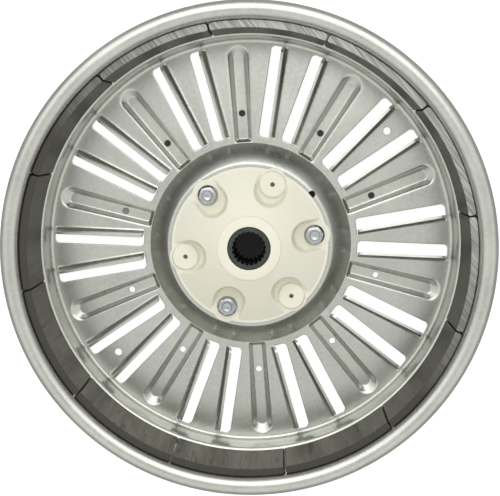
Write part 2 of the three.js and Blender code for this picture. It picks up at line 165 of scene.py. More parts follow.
def spread(tree, source, low, high, x, y, start=0.3, stop=0.7):
    """A value between start and stop carried over to between low and high, and held at both ends."""
    made = node(tree, "ShaderNodeMapRange", x, y, Value=source, From_Min=start, From_Max=stop)
    made.inputs["To Min"].default_value = low
    made.inputs["To Max"].default_value = high
    return made.outputs[0]


MIX_INPUTS = (6, 7)  # a Mix node's colour sockets
MIX_OUTPUT = 2


def blend_colours(tree, factor, first, second, x, y):
    """Two colours, each a socket or plain, mixed by a varying factor."""
    made = node(tree, "ShaderNodeMix", x, y, data_type="RGBA", Factor=factor)
    for place, colour in zip(MIX_INPUTS, (first, second)):
        plain = not isinstance(colour, bpy.types.NodeSocket)
        feed(tree, made.inputs[place], (*colour, 1.0) if plain else colour)
    return made.outputs[MIX_OUTPUT]


def lay_relief(tree, shader, height, strength, distance):
    """Bump that follows a height, on a shader's normal."""
    bump = node(tree, "ShaderNodeBump", 300, -250, Strength=strength, Distance=distance, Height=height)
    tree.links.new(bump.outputs[0], shader.inputs["Normal"])


def grained(name, dark, light, rough, scale, cloud_scale, bump, distance, **principled):
    """A material whose colour, roughness and relief follow the shared grain."""
    material, tree, shader = new_material(name, Base_Color=(*light, 1.0), **principled)
    grain = node(tree, "ShaderNodeGroup", -500, 0, node_tree=grain_group())
    grain.inputs["Scale"].default_value = scale
    grain.inputs["Cloud Scale"].default_value = cloud_scale
    both = maths(tree, "ADD", -200, 200, grain.outputs["Speckle"], grain.outputs["Cloud"])
    mean = maths(tree, "MULTIPLY", -50, 200, both, 0.5)
    tone = blend_colours(tree, spread(tree, mean, 0.0, 1.0, 100, 250), dark, light, 300, 250)
    feed(tree, shader.inputs["Base Color"], tone)
    feed(tree, shader.inputs["Roughness"], spread(tree, grain.outputs["Cloud"], *rough, 300, 0))
    lay_relief(tree, shader, grain.outputs["Height"], bump, distance)
    return material


FERRITE = {
    "end_z": (0.0602, 0.0606),  # heights between which a magnet's faces give way to its end face
    "stretch": 0.6,  # scale of the streaks along the axis
    "slant": 24.0,  # degrees by which the grinding lines are turned
    "lines": (1.0, 0.03, 0.03),  # scale of the grinding across its lines, then along them
    "painted_light_way": (0.966, 0.26, 0.0),  # direction towards the end faces brightened by painted light
    "painted_light_at": (-0.01, 0.10),  # distances in that direction over which they change
    "painted_shade_way": (0.87, 0.5, 0.0),  # direction towards the inner faces darkened by painted shade
    "painted_shade_at": (-0.125, 0.03),  # and the distances
    "streak": 0.1,  # share of the dull tone that the darkest streaks keep
    "painted_shade_end": 0.32,  # and the dullest end faces, in painted shade and between the grinding lines
}


def ferrite_material(dull, bright):
    """Ground ferrite. Inner and outer faces carry uneven upright streaks, which follow the angle about the
    axis, and end faces carry fine slanting grinding lines. Painted shade makes inner faces darker towards one
    side; painted light makes end faces brighter towards that side, so they are duller towards the other."""
    material, tree, shader = new_material(
        "ground_ferrite", Base_Color=(*dull, 1.0), Metallic=0.2, Specular_IOR_Level=0.25,
    )
    place, parts, angle = object_place(tree, -1500, 0)
    low = maths(tree, "MULTIPLY", -1100, 200, parts["Z"], FERRITE["stretch"])
    upright = node(tree, "ShaderNodeCombineXYZ", -900, 150, X=angle, Y=low).outputs[0]
    streaks = noise(tree, -700, 150, Vector=upright, Scale=34.0, Detail=5.0, Roughness=0.75)
    rotation = (0.0, 0.0, math.radians(FERRITE["slant"]))
    slant = node(
        tree, "ShaderNodeMapping", -900, -150, Vector=place, Rotation=rotation, Scale=FERRITE["lines"],
    )
    lines = noise(tree, -700, -150, Vector=slant.outputs[0], Scale=1400.0, Detail=2.0)
    scored = spread(tree, lines, 0.35, 1.0, -550, -150, 0.35, 0.65)
    # painted light: end faces grow brighter towards one side
    side = along(tree, place, FERRITE["painted_light_way"], -900, -450)
    painted_light_share = spread(tree, side, 0.0, 1.0, -700, -450, *FERRITE["painted_light_at"])
    # the real grinding lines times the painted light, so the lines show brightest on its side
    ground = maths(tree, "MULTIPLY", -450, -300, scored, painted_light_share)
    split = noise(tree, -700, 450, Vector=upright, Scale=26.0, Detail=1.0)
    off = maths(tree, "SUBTRACT", -550, 450, split, 0.5)
    size = maths(tree, "ABSOLUTE", -400, 450, off)
    thread = spread(tree, size, 0.25, 1.0, -250, 600, 0.0, 0.014)
    smear = spread(tree, streaks, 0.45, 1.0, -450, 200, 0.38, 0.62)
    tone = maths(tree, "MULTIPLY", -100, 450, thread, smear)
    # painted shade: inner and outer faces grow darker towards one side
    across = along(tree, place, FERRITE["painted_shade_way"], -900, -650)
    painted_shade_share = spread(tree, across, 1.0, 0.3, -700, -650, *FERRITE["painted_shade_at"])
    streaks_and_painted_shade = maths(tree, "MULTIPLY", -100, 350, tone, painted_shade_share)
    # the faces' tone: real streaks and threads, darkened further by the painted shade
    worn = blend_colours(tree, streaks_and_painted_shade, [v * FERRITE["streak"] for v in dull], dull, 50, 250)
    # end faces run from the dull tone kept in painted shade up to the bright tone of the painted light
    ends = blend_colours(tree, ground, [v * FERRITE["painted_shade_end"] for v in dull], bright, -200, -150)
    end = spread(tree, parts["Z"], 0.0, 1.0, -450, 0, *FERRITE["end_z"])
    feed(tree, shader.inputs["Base Color"], blend_colours(tree, end, worn, ends, 300, 100))
    feed(tree, shader.inputs["Roughness"], spread(tree, streaks, 0.36, 0.50, 300, -100))
    lay_relief(tree, shader, streaks, 0.3, 0.0001)
    return material


# name, dark tone, light tone, roughness, scales of speckle and clouds, strength and depth of relief
CREAM = ("cream_moulding", (0.78, 0.755, 0.62), (0.83, 0.81, 0.69), (0.42, 0.50), 700.0, 18.0, 0.12, 0.0001)
DARK = ("oiled_steel", (0.045, 0.052, 0.046), (0.085, 0.095, 0.085), (0.28, 0.42), 900.0, 90.0, 0.2, 0.00006)
BRIGHT = (
    "bright_zinc", (0.36, 0.375, 0.385), (0.60, 0.615, 0.62), (0.16, 0.28), 1100.0, 150.0, 0.25, 0.00006,
)
SATIN = ((0.25, 0.33), 420.0, 30.0, 0.35, 0.00012)  # from roughness on


def make_materials(look):
    """The five finishes, by the record's slot names."""
    return {
        "zinc_sheet": grained("satin_zinc", look.sheet_dark, look.sheet_light, *SATIN, Metallic=1.0),
        "ferrite": ferrite_material(look.ferrite_dull, look.ferrite_painted_light),
        "cream_plastic": grained(*CREAM),
        "dark_steel": grained(*DARK, Metallic=0.8),
        "zinc_bolt": grained(*BRIGHT, Metallic=1.0),
    }


MATERIALS = {}


def material_of(slot):
    """The finish of a record slot, made at first use."""
    if not MATERIALS:
        MATERIALS.update(make_materials(bpy.context.scene.rotor_finish))
    return MATERIALS[slot]


# ---- sizes a user may change ------------------------------------------------------------


class RotorFinish(bpy.types.PropertyGroup):
    """Colours of the finishes."""

    sheet_dark: FloatVectorProperty(
        name="Sheet, dark", description="Darker tone of the coated sheet", subtype="COLOR",
        default=(0.50, 0.515, 0.475), min=0.0, max=1.0,
    )
    sheet_light: FloatVectorProperty(
        name="Sheet, light", description="Lighter tone of the coated sheet", subtype="COLOR",
        default=(0.67, 0.68, 0.63), min=0.0, max=1.0,
    )
    ferrite_dull: FloatVectorProperty(
        name="Ferrite, dull", description="Tone of a magnet's faces", subtype="COLOR",
        default=(0.19, 0.175, 0.145), min=0.0, max=1.0,
    )
    # The bright tone is painted light: end faces reach it only towards one side, along the grinding lines.
    ferrite_painted_light: FloatVectorProperty(
        name="Ferrite, bright", description="Tone of the bright ground end faces", subtype="COLOR",
        default=(0.52, 0.52, 0.50), min=0.0, max=1.0,
    )


class RotorSizes(bpy.types.PropertyGroup):
    """Sizes of the pieces."""

    sheet: FloatProperty(
        name="Sheet", description="Thickness of the pressed sheet", unit="LENGTH", default=0.0016, min=0.0005,
    )


class RotorStudio(bpy.types.PropertyGroup):
    """Camera, floor and lights."""

    camera_at: FloatVectorProperty(
        name="Camera", description="Where the camera stands", subtype="TRANSLATION", unit="LENGTH",
        default=(0.0638, 0.04295, 0.6562),
    )
    aim: FloatVectorProperty(
        name="Aim", description="Point at the middle of the picture", subtype="TRANSLATION", unit="LENGTH",
        default=(0.00353, 0.00175, 0.0607),
    )
    roll: FloatProperty(
        name="Roll", description="Direction in the floor plane that is up in the picture", unit="ROTATION",
        default=math.radians(50.25),
    )
    lens: FloatProperty(name="Lens", description="Focal length in millimetres", default=72.36, min=10.0)
    key_power: FloatProperty(name="Key light", description="Power in watts", default=8.0, min=0.0)
    fill_power: FloatProperty(name="Fill light", description="Power in watts", default=4.0, min=0.0)
    room: FloatProperty(name="Room light", description="Strength of light all round", default=1.0, min=0.0)
    ceiling: FloatVectorProperty(
        name="Ceiling", description="Direction of the dimmer patch overhead", subtype="DIRECTION",
        default=(0.30, 0.22, 1.0),
    )


# ---- surfaces ------------------------------------------------------------


def eased(first, last, steps):
    """Values from first to last, closer together at both ends: a straight line with half a cosine wave."""
    t = np.linspace(0.0, 1.0, steps + 1)
    return first + (last - first) * (0.25 * t + 0.75 * (0.5 - 0.5 * np.cos(np.pi * t)))


def arc(cx, cy, radius, start, stop, steps):
    """Points (x, y) of a circular arc between two angles in degrees."""
    a = np.radians(np.linspace(start, stop, steps + 1))
    return np.stack([cx + radius * np.cos(a), cy + radius * np.sin(a)], axis=1)


def line(first, last, steps):
    """Points evenly spaced from first to last, ends included."""
    t = np.linspace(0.0, 1.0, steps + 1)[:, None]
    return np.asarray(first, float) * (1 - t) + np.asarray(last, float) * t


def at_height(points, z):
    """(x, y) points with a height added."""
    return np.concatenate([points, np.broadcast_to(z, points.shape[:-1])[..., None]], axis=-1)


def turned(points, angle):
    """Points turned about the axis by an angle in degrees."""
    c, s = math.cos(math.radians(angle)), math.sin(math.radians(angle))
    x, y, z = points[..., 0], points[..., 1], points[..., 2]
    return np.stack([c * x - s * y, s * x + c * y, z], axis=-1)


def moved(points, x, y):
    """Points shifted sideways by a distance."""
    return points + np.array([x, y, 0.0])


def revolved(profile, columns):
    """Grid of a profile of (r, z) points turned about the axis: x = r cos a, y = r sin a; the last column
    repeats the first."""
    a = np.radians(np.linspace(0.0, 360.0, columns + 1))
    profile = np.asarray(profile, float)
    r, z = profile[:, :1], profile[:, 1:]
    return np.stack([r * np.cos(a), r * np.sin(a), np.broadcast_to(z, (len(profile), columns + 1))], axis=-1)


def shaped(rows, columns):
    """Grid from rows of (radius, z), each a number or one value per column, turned about the axis."""
    a = np.linspace(0.0, 2 * np.pi, columns + 1)
    rings = [(r * np.cos(a), r * np.sin(a), np.broadcast_to(z, a.shape)) for r, z in rows]
    return np.stack([np.stack(ring, axis=1) for ring in rings])


def round_bar(r, angle, *profile):
    """Closed turned body on a circle about the axis, from (radius, z) points from the top down."""
    a = math.radians(angle)
    body = revolved([(0, profile[0][1]), *profile, (0, profile[-1][1])], BAR_COLUMNS)
    return moved(body, r * math.cos(a), r * math.sin(a))


def bowed(first, middle, last, t):
    """Quadratic curve from first to last that leans towards middle, at shares t of its way."""
    return (1 - t) ** 2 * first + 2 * t * (1 - t) * middle + t * t * last


def corner_curve(before, corner, after, reach, steps):
    """Rounds a corner between two directions: a quadratic curve that leaves each side at a distance reach.
    Works on whole arrays of corners and returns one array per step."""
    def towards(target):
        way = target - corner
        return corner + way / np.linalg.norm(way, axis=-1, keepdims=True) * reach
    first, last = towards(before), towards(after)
    return [bowed(first, corner, last, t) for t in np.linspace(0.0, 1.0, steps + 1)]


def new_piece(name, grids, slot, modify=None, sharp=30.0, stands_for=()):
    """Joins grids of points (rows, columns, 3), in millimetres, into one mesh in metres. Rows crossed with
    columns point out of the surface. Seams are merged. The function modify may add modifiers, which are
    applied, and returns the shapes that they used, which are removed. Edges sharper than the given angle are
    left crisp."""
    points, faces, start = [], [], 0
    for grid in grids:
        rows, columns = grid.shape[:2]
        index = start + np.arange(rows * columns).reshape(rows, columns)
        corners = [index[:-1, :-1], index[1:, :-1], index[1:, 1:], index[:-1, 1:]]
        faces.append(np.stack(corners, axis=-1).reshape(-1, 4))
        points.append(grid.reshape(-1, 3))
        start += rows * columns
    data = bpy.data.meshes.new(name)
    data.from_pydata(np.concatenate(points) * MM, [], np.concatenate(faces))
    merged = bmesh.new()
    merged.from_mesh(data)
    bmesh.ops.remove_doubles(merged, verts=merged.verts, dist=SEAM)
    merged.to_mesh(data)
    merged.free()
    piece = bpy.data.objects.new(name, data)
    bpy.context.scene.collection.objects.link(piece)
    if modify:
        tools = modify(piece)
        applied = bpy.data.meshes.new_from_object(piece.evaluated_get(bpy.context.evaluated_depsgraph_get()))
        piece.modifiers.clear()
        piece.data = applied
        bpy.data.meshes.remove(data)
        applied.name = name
        for tool in tools:
            bpy.data.objects.remove(tool)
    piece.data.shade_smooth()
    piece.data.set_sharp_from_angle(angle=math.radians(sharp))
    if slot:
        piece.data.materials.clear()
        piece.data.materials.append(material_of(slot))
        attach(piece, BODY)
        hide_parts(*stands_for)
    return piece


def cut_with(piece, name, grids, operation="DIFFERENCE"):
    """Cuts closed shapes out of a piece, or joins them to it, and returns their object."""
    tool = new_piece(name, grids, None)
    step = piece.modifiers.new(name, "BOOLEAN")
    step.operation, step.object, step.solver = operation, tool, "MANIFOLD"
    return tool


# ---- pressed cup ------------------------------------------------------------

FIXING_R = 41.8  # circle that the bolts and pegs stand on
BOLT_ANGLES = (-30, 90, 210)
PEG_ANGLES = (30, 150, 270)
BAR_COLUMNS = 32
SIDE_STEPS = 24  # along a fin's root
END_STEPS = 8  # across a sector's outer end
RIM_COLUMNS = 240
SECTOR = 12  # degrees taken up by one slot or one rib
RIB_ANGLES = range(90, 450, 3 * SECTOR)  # a rib and two slots in turn
CUP = {
    "base": 5.2, "foot_r": 65.4, "corner_r": 129.1, "corner": 2.2, "lower_wall_r": 131.3, "ledge_z": 23.6,
    "ledge_round": 3.0, "wall_root": 0.8, "wall_r": 137.8, "lip_z": 60.5, "lip_round": 5.6, "skirt": 2.6,
    "plateau": 14.5, "pilot_r": 22.0,
}
PLATEAU_R = (32.0, 42.0)  # circles on the level middle
# (r, z) of two curves in turn: the hub wall's shoulder, then its slope down to the foot
HUB_SHOULDER = ((51.6, 14.5), (52.5, 14.5), (53.2, 14.1))
HUB_SLOPE = ((53.2, 14.1), (59.24, 10.6), (65.4, 5.2))
BORDER_INNER_R = (67.2, 69.0)  # points on a sector's border before and after those beside its fin
BORDER_OUTER_R = (127.6, 128.4)
SPREAD = (0.33, 0.67, 1.0)  # shares of a way that is crossed in three steps
SLOT = {"inner": 69.6, "outer": 127.6, "bend": -6.05, "free": 4.75, "round": 2.5, "lance": 0.3}
SLOT_EDGE = ((0.0, 0.28), (0.2, 0.08), (0.45, 0.01), (0.8, 0.0))  # distance from its outline, and fall
FIN = {"inner": 70.0, "outer": 127.2, "top": 13.4, "corner": 2.5, "radius": 2.6, "root": -6.96, "lean": 79.0}
FIN_POINTS = slice(3, 4 + SIDE_STEPS)  # the points of a slot's outline that the fin rises from
RIB_TOP = {"start": 65.8, "hub": 5.5, "rim": 6.5, "end": 120.8, "bulge": 6.3, "corner": 1.6}
RIB_FLOOR = {"start": 67.7, "hub": 3.0, "rim": 3.5, "end": 119.8, "bulge": 2.4, "corner": 1.2}
RIB_FLOOR_Z = 1.6
RIB_SPINE_START = 69.0  # where the middle line of a rib's floor begins
RIB_LOW_ROUND = 0.75
RIB_HIGH_ROUND = 1.15
RIB_HIGH_SHARE = 0.8  # of the way to the border, where that is less
CUTTER_RISE = 1.0  # of a hole's cutter above the sheet
# circle, angles, radius, height of the sheet, depth of the cutter, and how far the hole's edge is broken
HOLES = (
    (84.5, RIB_ANGLES, 2.0, RIB_FLOOR_Z, 3.0, 0.3),
    (114.0, (0, 180), 2.5, CUP["base"], 3.0, 0.3),
    (51.3, (0,), 2.3, CUP["plateau"], 4.0, 0.0),
    (FIXING_R, BOLT_ANGLES, 3.2, CUP["plateau"], 3.0, 0.3),
    (FIXING_R, PEG_ANGLES, 4.3, CUP["plateau"], 3.0, 0.3),
)


def sector_radii():
    """Radii of the points on the edge that two sectors share."""
    middle = eased(FIN["inner"], FIN["outer"], SIDE_STEPS)
    return np.concatenate([[CUP["foot_r"], *BORDER_INNER_R], middle, [*BORDER_OUTER_R, CUP["corner_r"]]])


def sector_border():
    """A sector's border, anticlockwise: a straight side, the arc at the corner of the cup, the other side and
    the arc at the hub wall's foot."""
    r, half = sector_radii(), SECTOR / 2
    side = np.stack([r * math.cos(math.radians(half)), r * math.sin(math.radians(half))], axis=1)
    outer_end = arc(0, 0, CUP["corner_r"], -half, half, END_STEPS)[1:-1]
    inner_end = arc(0, 0, CUP["foot_r"], half, -half, END_STEPS)[1:-1]
    return np.concatenate([side * (1, -1), outer_end, side[::-1], inner_end])


def slot_outline():
    """A slot's outline, anticlockwise from its inner corner at the fin: two lanced and two round corners."""
    low, high, bend, free = SLOT["inner"], SLOT["outer"], SLOT["bend"], SLOT["free"]
    lance, rounded = SLOT["lance"], SLOT["round"]
    root = eased(FIN["inner"], FIN["outer"], SIDE_STEPS)
    edge = eased(high - rounded, low + rounded, SIDE_STEPS)
    middle = (bend + lance + free - rounded) / 2
    return np.concatenate([
        arc(low + lance, bend + lance, lance, 225, 270, 2),
        np.stack([root, np.full(root.shape, bend)], axis=1),
        arc(high - lance, bend + lance, lance, -90, -45, 2),
        arc(high - lance, bend + lance, lance, -22.5, 0, 1),
        [(high, middle)],
        arc(high - rounded, free - rounded, rounded, 0, 45, 4),
        arc(high - rounded, free - rounded, rounded, 60, 75, 1),
        np.stack([edge, np.full(edge.shape, free)], axis=1),
        arc(low + rounded, free - rounded, rounded, 105, 135, 2),
        arc(low + rounded, free - rounded, rounded, 146.25, 180, 3),
        [(low, middle)],
        arc(low + lance, bend + lance, lance, 180, 202.5, 1),
    ])


def slot_sector():
    """The base round one slot, and its fin. Rings start on the slot's outline, keep its shape for 0.8 mm and
    spread evenly to the sector's edge. The blanked edge falls away a little; along the fin the surface
    instead starts to rise on the bend's circle, and the fin's rows follow that circle and then a straight
    line to its top, whose ends are rounded off."""
    outline = slot_outline()
    way = np.roll(outline, -1, axis=0) - np.roll(outline, 1, axis=0)
    outward = np.stack([way[:, 1], -way[:, 0]], axis=1)
    outward /= np.linalg.norm(outward, axis=1, keepdims=True)
    attached = np.zeros(len(outline), bool)
    attached[FIN_POINTS] = True
    rings = []
    for distance, fall in SLOT_EDGE:
        ring = outline + outward * distance
        run = np.clip(ring[:, 1] - FIN["root"], 0.0, FIN["radius"])
        rise = FIN["radius"] - np.sqrt(FIN["radius"] ** 2 - run ** 2)
        rings.append(at_height(ring, CUP["base"] + np.where(attached, rise, -fall)))
    last = rings[-1]
    border = at_height(sector_border(), CUP["base"])
    rings += [last * (1 - s) + border * s for s in SPREAD]
    base = np.stack(rings)
    base = np.concatenate([base, base[:, :1]], axis=1)

    root = rings[0][FIN_POINTS]
    x = root[:, 0]
    first = math.degrees(math.asin((SLOT["bend"] - FIN["root"]) / FIN["radius"]))
    bend = arc(FIN["root"], CUP["base"] + FIN["radius"], FIN["radius"], first - 90, FIN["lean"] - 90, 5)
    inset = np.minimum(x - x[0], x[-1] - x)
    short = np.clip(FIN["corner"] - inset, 0.0, None)
    top = FIN["top"] - FIN["corner"] + np.sqrt(FIN["corner"] ** 2 - short ** 2)
    rows = [np.stack([x, np.full(x.shape, y), np.full(x.shape, z)], axis=1) for y, z in bend]
    rows[0] = root
    foot = rows[-1]
    for share in SPREAD:
        rise = (top - foot[:, 2]) * share
        lean = rise / math.tan(math.radians(FIN["lean"]))
        rows.append(foot + np.stack([np.zeros(x.shape), lean, rise], axis=1))
    return [base, np.stack(rows[::-1])]


def rib_ring(size):
    """A rib's outline, anticlockwise from its rounded corner at the hub: a side, half an ellipse, the other
    side and a straight end across."""
    hub, corner, start = size["hub"], size["corner"], size["start"]
    share = eased(0.0, 1.0, SIDE_STEPS)
    first = start + corner
    side = np.stack([first + (size["end"] - first) * share, hub + (size["rim"] - hub) * share], axis=1)
    tip = arc(0, 0, 1, -90, 90, 2 * END_STEPS)[1:-1] * (size["bulge"], size["rim"]) + (size["end"], 0)
    return np.concatenate([
        arc(first, corner - hub, corner, 225, 270, 2),
        side[1:] * (1, -1),
        tip,
        side[::-1],
        arc(first, hub - corner, corner, 90, 180, 4)[1:],
        line((start, hub - corner), (start, corner - hub), 4)[1:],
        arc(first, corner - hub, corner, 180, 225, 2)[1:-1],
    ])


def rib_sector():
    """The base round one pressed rib. Rings spread from the middle line of the rib's floor over its rounded
    lower edge, up its side, over the rounded upper edge and out to the sector's border."""
    top = at_height(rib_ring(RIB_TOP), CUP["base"])
    floor = at_height(rib_ring(RIB_FLOOR), RIB_FLOOR_Z)
    spine = floor * (1, 0, 1)
    spine[:, 0] = np.clip(spine[:, 0], RIB_SPINE_START, RIB_FLOOR["end"])
    border = at_height(sector_border(), CUP["base"])
    room = RIB_HIGH_SHARE * np.linalg.norm(border - top, axis=1, keepdims=True)
    low = corner_curve(spine, floor, top, RIB_LOW_ROUND, 4)
    high = corner_curve(floor, top, border, np.minimum(RIB_HIGH_ROUND, room), 5)
    rows = [spine, (spine + low[0]) / 2, *low, *high]
    rows += [high[-1] * (1 - s) + border * s for s in SPREAD]
    grid = np.stack(rows)
    return [np.concatenate([grid, grid[:, :1]], axis=1)]


def hub_wall():
    """Raised middle turned about the axis: level, then two quadratic curves that steepen down to the foot."""
    rows = [np.array([(r, CUP["plateau"]) for r in (CUP["pilot_r"], *PLATEAU_R)])]
    for (a, b, c), steps in ((np.array(HUB_SHOULDER), 6), (np.array(HUB_SLOPE), 16)):
        t = np.linspace(0.0, 1.0, steps + 1)[:, None]
        rows.append(bowed(a, b, c, t)[len(rows) - 1:])
    return revolved(np.concatenate(rows), RIM_COLUMNS)


def cup_wall():
    """Everything outside the flat base: corner, lower wall, ledge, wall and rolled lip, turned about the
    axis."""
    lip_r = CUP["wall_r"] + CUP["lip_round"]
    ledge_r = CUP["lower_wall_r"] + CUP["ledge_round"]
    ledge_low = CUP["ledge_z"] - CUP["ledge_round"]
    root = CUP["wall_root"]
    return revolved(np.concatenate([
        arc(CUP["corner_r"], CUP["base"] + CUP["corner"], CUP["corner"], -90, 0, 6),
        line((CUP["lower_wall_r"], CUP["base"] + CUP["corner"]), (CUP["lower_wall_r"], ledge_low), 3)[1:],
        arc(ledge_r, ledge_low, CUP["ledge_round"], 180, 90, 8)[1:],
        arc(CUP["wall_r"] - root, CUP["ledge_z"] + root, root, -90, 0, 3),
        line((CUP["wall_r"], CUP["ledge_z"] + root), (CUP["wall_r"], CUP["lip_z"]), 3)[1:],
        arc(lip_r, CUP["lip_z"], CUP["lip_round"], 180, 0, 18)[1:],
        [(lip_r + CUP["lip_round"], CUP["lip_z"] - CUP["skirt"])],
    ]), RIM_COLUMNS)


def hole_cutter(r, angle, radius, surface, depth, flare):
    """Round cutter on a circle about the axis, widening just below the surface to break the hole's edge."""
    return round_bar(
        r, angle, (radius + flare, surface + CUTTER_RISE), (radius + flare, surface),
        (radius, surface - flare), (radius, surface - depth),
    )


class ROTOR_OT_cup(bpy.types.Operator):
    """Pressed steel cup with its ribs, slots, bent fins and rolled lip"""

    bl_idname = "rotor.cup"
    bl_label = "Cup"

    def execute(self, context):
        slot_parts, rib_parts = slot_sector(), rib_sector()
        grids = [cup_wall(), hub_wall()]
        for angle in RIB_ANGLES:
            grids += [turned(part, angle) for part in rib_parts]
            for step in (SECTOR, 2 * SECTOR):
                grids += [turned(part, angle + step) for part in slot_parts]
        holes = [hole_cutter(r, angle, *form) for r, angles, *form in HOLES for angle in angles]

        def modify(piece):
            wall = piece.modifiers.new("sheet", "SOLIDIFY")
            wall.thickness = context.scene.rotor_sizes.sheet
            wall.offset = -1.0
            wall.use_even_offset = True
            return [cut_with(piece, "holes", holes)]

        new_piece("cup_pressing", grids, "zinc_sheet", modify, stands_for=["rotor_frame"])
        return {"FINISHED"}


# ---- magnets ------------------------------------------------------------

MAGNETS = 12
MAGNET_PITCH = 30  # degrees
MAGNET = {
    "inner": 133.0, "outer": 137.5, "bottom": 23.9, "top": 60.7, "space": 1.0,
    "corner_in": 0.8, "corner_out": 1.6, "edge": 0.25,
    "middle": 14.0,  # degrees that an end face's middle line reaches to each side
}
MAGNET_STEPS = 24  # along its arc
MAGNET_CORNER_STEPS = 5


def polar(r, a, z):
    """Points from radii, angles in degrees and heights."""
    a = np.radians(a)
    return np.stack([r * np.cos(a), r * np.sin(a), np.broadcast_to(z, np.shape(a))], axis=-1)


def magnet_ring(inset):
    """A magnet's outline about +X as radii and angles, anticlockwise. Its sides stay half the space away from
    the plane between two magnets, and each corner is a quarter circle."""
    low, high = MAGNET["inner"] + inset, MAGNET["outer"] - inset
    small, large = MAGNET["corner_in"], MAGNET["corner_out"]

    def angle(r, depth):
        return MAGNET_PITCH / 2 - np.degrees(np.arcsin((MAGNET["space"] / 2 + inset + depth) / r))

    share = np.linspace(-1.0, 1.0, MAGNET_STEPS + 1)
    swing = np.radians(np.linspace(0.0, 90.0, MAGNET_CORNER_STEPS + 1))
    outer_r = high - large + large * np.cos(swing)
    outer_a = angle(outer_r, large - large * np.sin(swing))
    inner_r = low + small - small * np.sin(swing)
    inner_a = angle(inner_r, small - small * np.cos(swing))
    r = np.concatenate([
        np.full(share.shape, high), outer_r[1:], inner_r, np.full(len(share) - 2, low), inner_r[::-1],
        outer_r[::-1],
    ])
    a = np.concatenate([
        share * outer_a[0], outer_a[1:], inner_a, -share[1:-1] * inner_a[-1], -inner_a[::-1], -outer_a[::-1],
    ])
    return r, a


def magnet_grid():
    """A magnet: end faces close on a middle line, and edges are worn a little."""
    steps, ends = MAGNET_STEPS, 2 * (MAGNET_CORNER_STEPS + 1) - 1
    share = np.linspace(-1.0, 1.0, steps + 1)
    share = np.concatenate([share, np.ones(ends), -share[1:-1], -np.ones(ends + 1)])
    middle = polar((MAGNET["inner"] + MAGNET["outer"]) / 2, share * MAGNET["middle"], 0.0)
    worn, full = polar(*magnet_ring(MAGNET["edge"]), 0.0), polar(*magnet_ring(0.0), 0.0)
    levels = [
        (middle, MAGNET["top"]), (worn, MAGNET["top"]), (full, MAGNET["top"] - MAGNET["edge"]),
        (full, MAGNET["bottom"] + MAGNET["edge"]), (worn, MAGNET["bottom"]), (middle, MAGNET["bottom"]),
    ]
    return np.stack([points + (0.0, 0.0, z) for points, z in levels])


class ROTOR_OT_magnets(bpy.types.Operator):
    """Twelve ground arc magnets on the cup's ledge"""

    bl_idname = "rotor.magnets"
    bl_label = "Magnets"

    def execute(self, context):
        grid = magnet_grid()
        for k in range(MAGNETS):
            placed = turned(grid, MAGNET_PITCH / 2 + MAGNET_PITCH * k)
            new_piece(f"arc_magnet_{k + 1}", [placed], "ferrite", stands_for=[f"magnet_{k + 1:02d}"])
        return {"FINISHED"}


# ---- hub bushing ------------------------------------------------------------

BUSHING_COLUMNS = 600
BUSHING_ROWS = 96
DISC = {"r": 50.3, "edge_z": 17.0, "underside": 14.8, "round": 0.5, "mid_round": 0.15}
COLLAR = {"r": 20.0, "top": 33.8, "step": 1.0, "groove": 0.5, "groove_end": 21.2}
KNEE = {"r": 23.4, "z": 31.1}
# (r, z) from the bore's mouth over the collar, and from below the disc back to the bore's mouth
COLLAR_TURN = ((13.6, 33.6), (13.8, 33.8), (19.6, 33.8), (19.88, 33.68), (20.0, 33.4), (20.0, 32.3))
UNDER_TURN = (
    (21.7, 14.8), (21.7, 9.6), (21.3, 9.2), (17.6, 9.2), (17.6, 4.0), (17.2, 3.6), (13.6, 3.6),
    (13.6, 15.7), (16.3, 15.7), (16.3, 23.3), (13.6, 23.3), (13.6, 33.6),
)
LOBE = {"r": 42.8, "radius": 9.4}
BOLT_POCKET = {"floor": 17.2, "centre": 37.6, "radius": 8.3}
PEG_POCKET = {"floor": 17.8, "centre": 38.4, "radius": 8.6}
POCKET_WALL = (-0.4, 2.3)  # where a pocket's wall starts and ends, measured outwards from its outline
CLEAR = 99.0  # a distance well past any pocket's wall
BOSS = {"radius": 7.9, "top": 19.5, "wall": 0.9}
# (radius, z) of turned shapes at the fixings, from the top down
PEG = ((4.0, 15.2), (4.0, 11.2), (3.6, 10.8))
PEG_HOLE = ((1.5, 34.0), (1.5, 12.6))
BOLT_HOLE = ((3.2, 34.0), (3.2, 13.0))


def smooth_step(value, first, last):
    """0 below first, 1 above last and a smooth S between them."""
    t = np.clip((value - first) / (last - first), 0.0, 1.0)
    return t * t * (3.0 - 2.0 * t)


def apart(a, angle):
    """Angle in radians from a direction in degrees, between minus and plus half a turn."""
    return (a - math.radians(angle) + np.pi) % (2 * np.pi) - np.pi


def disc_edge(a):
    """Radius of the disc's edge: a circle with six lobes, each a circle about a point nearer the axis."""
    edge = np.full(a.shape, DISC["r"])
    for angle in BOLT_ANGLES + PEG_ANGLES:
        across = LOBE["r"] * np.sin(apart(a, angle))
        half_chord = np.sqrt(np.clip(LOBE["radius"] ** 2 - across ** 2, 0.0, None))
        reach = LOBE["r"] * np.cos(apart(a, angle)) + half_chord
        edge = np.maximum(edge, np.where(np.abs(across) < LOBE["radius"], reach, 0.0))
    return edge


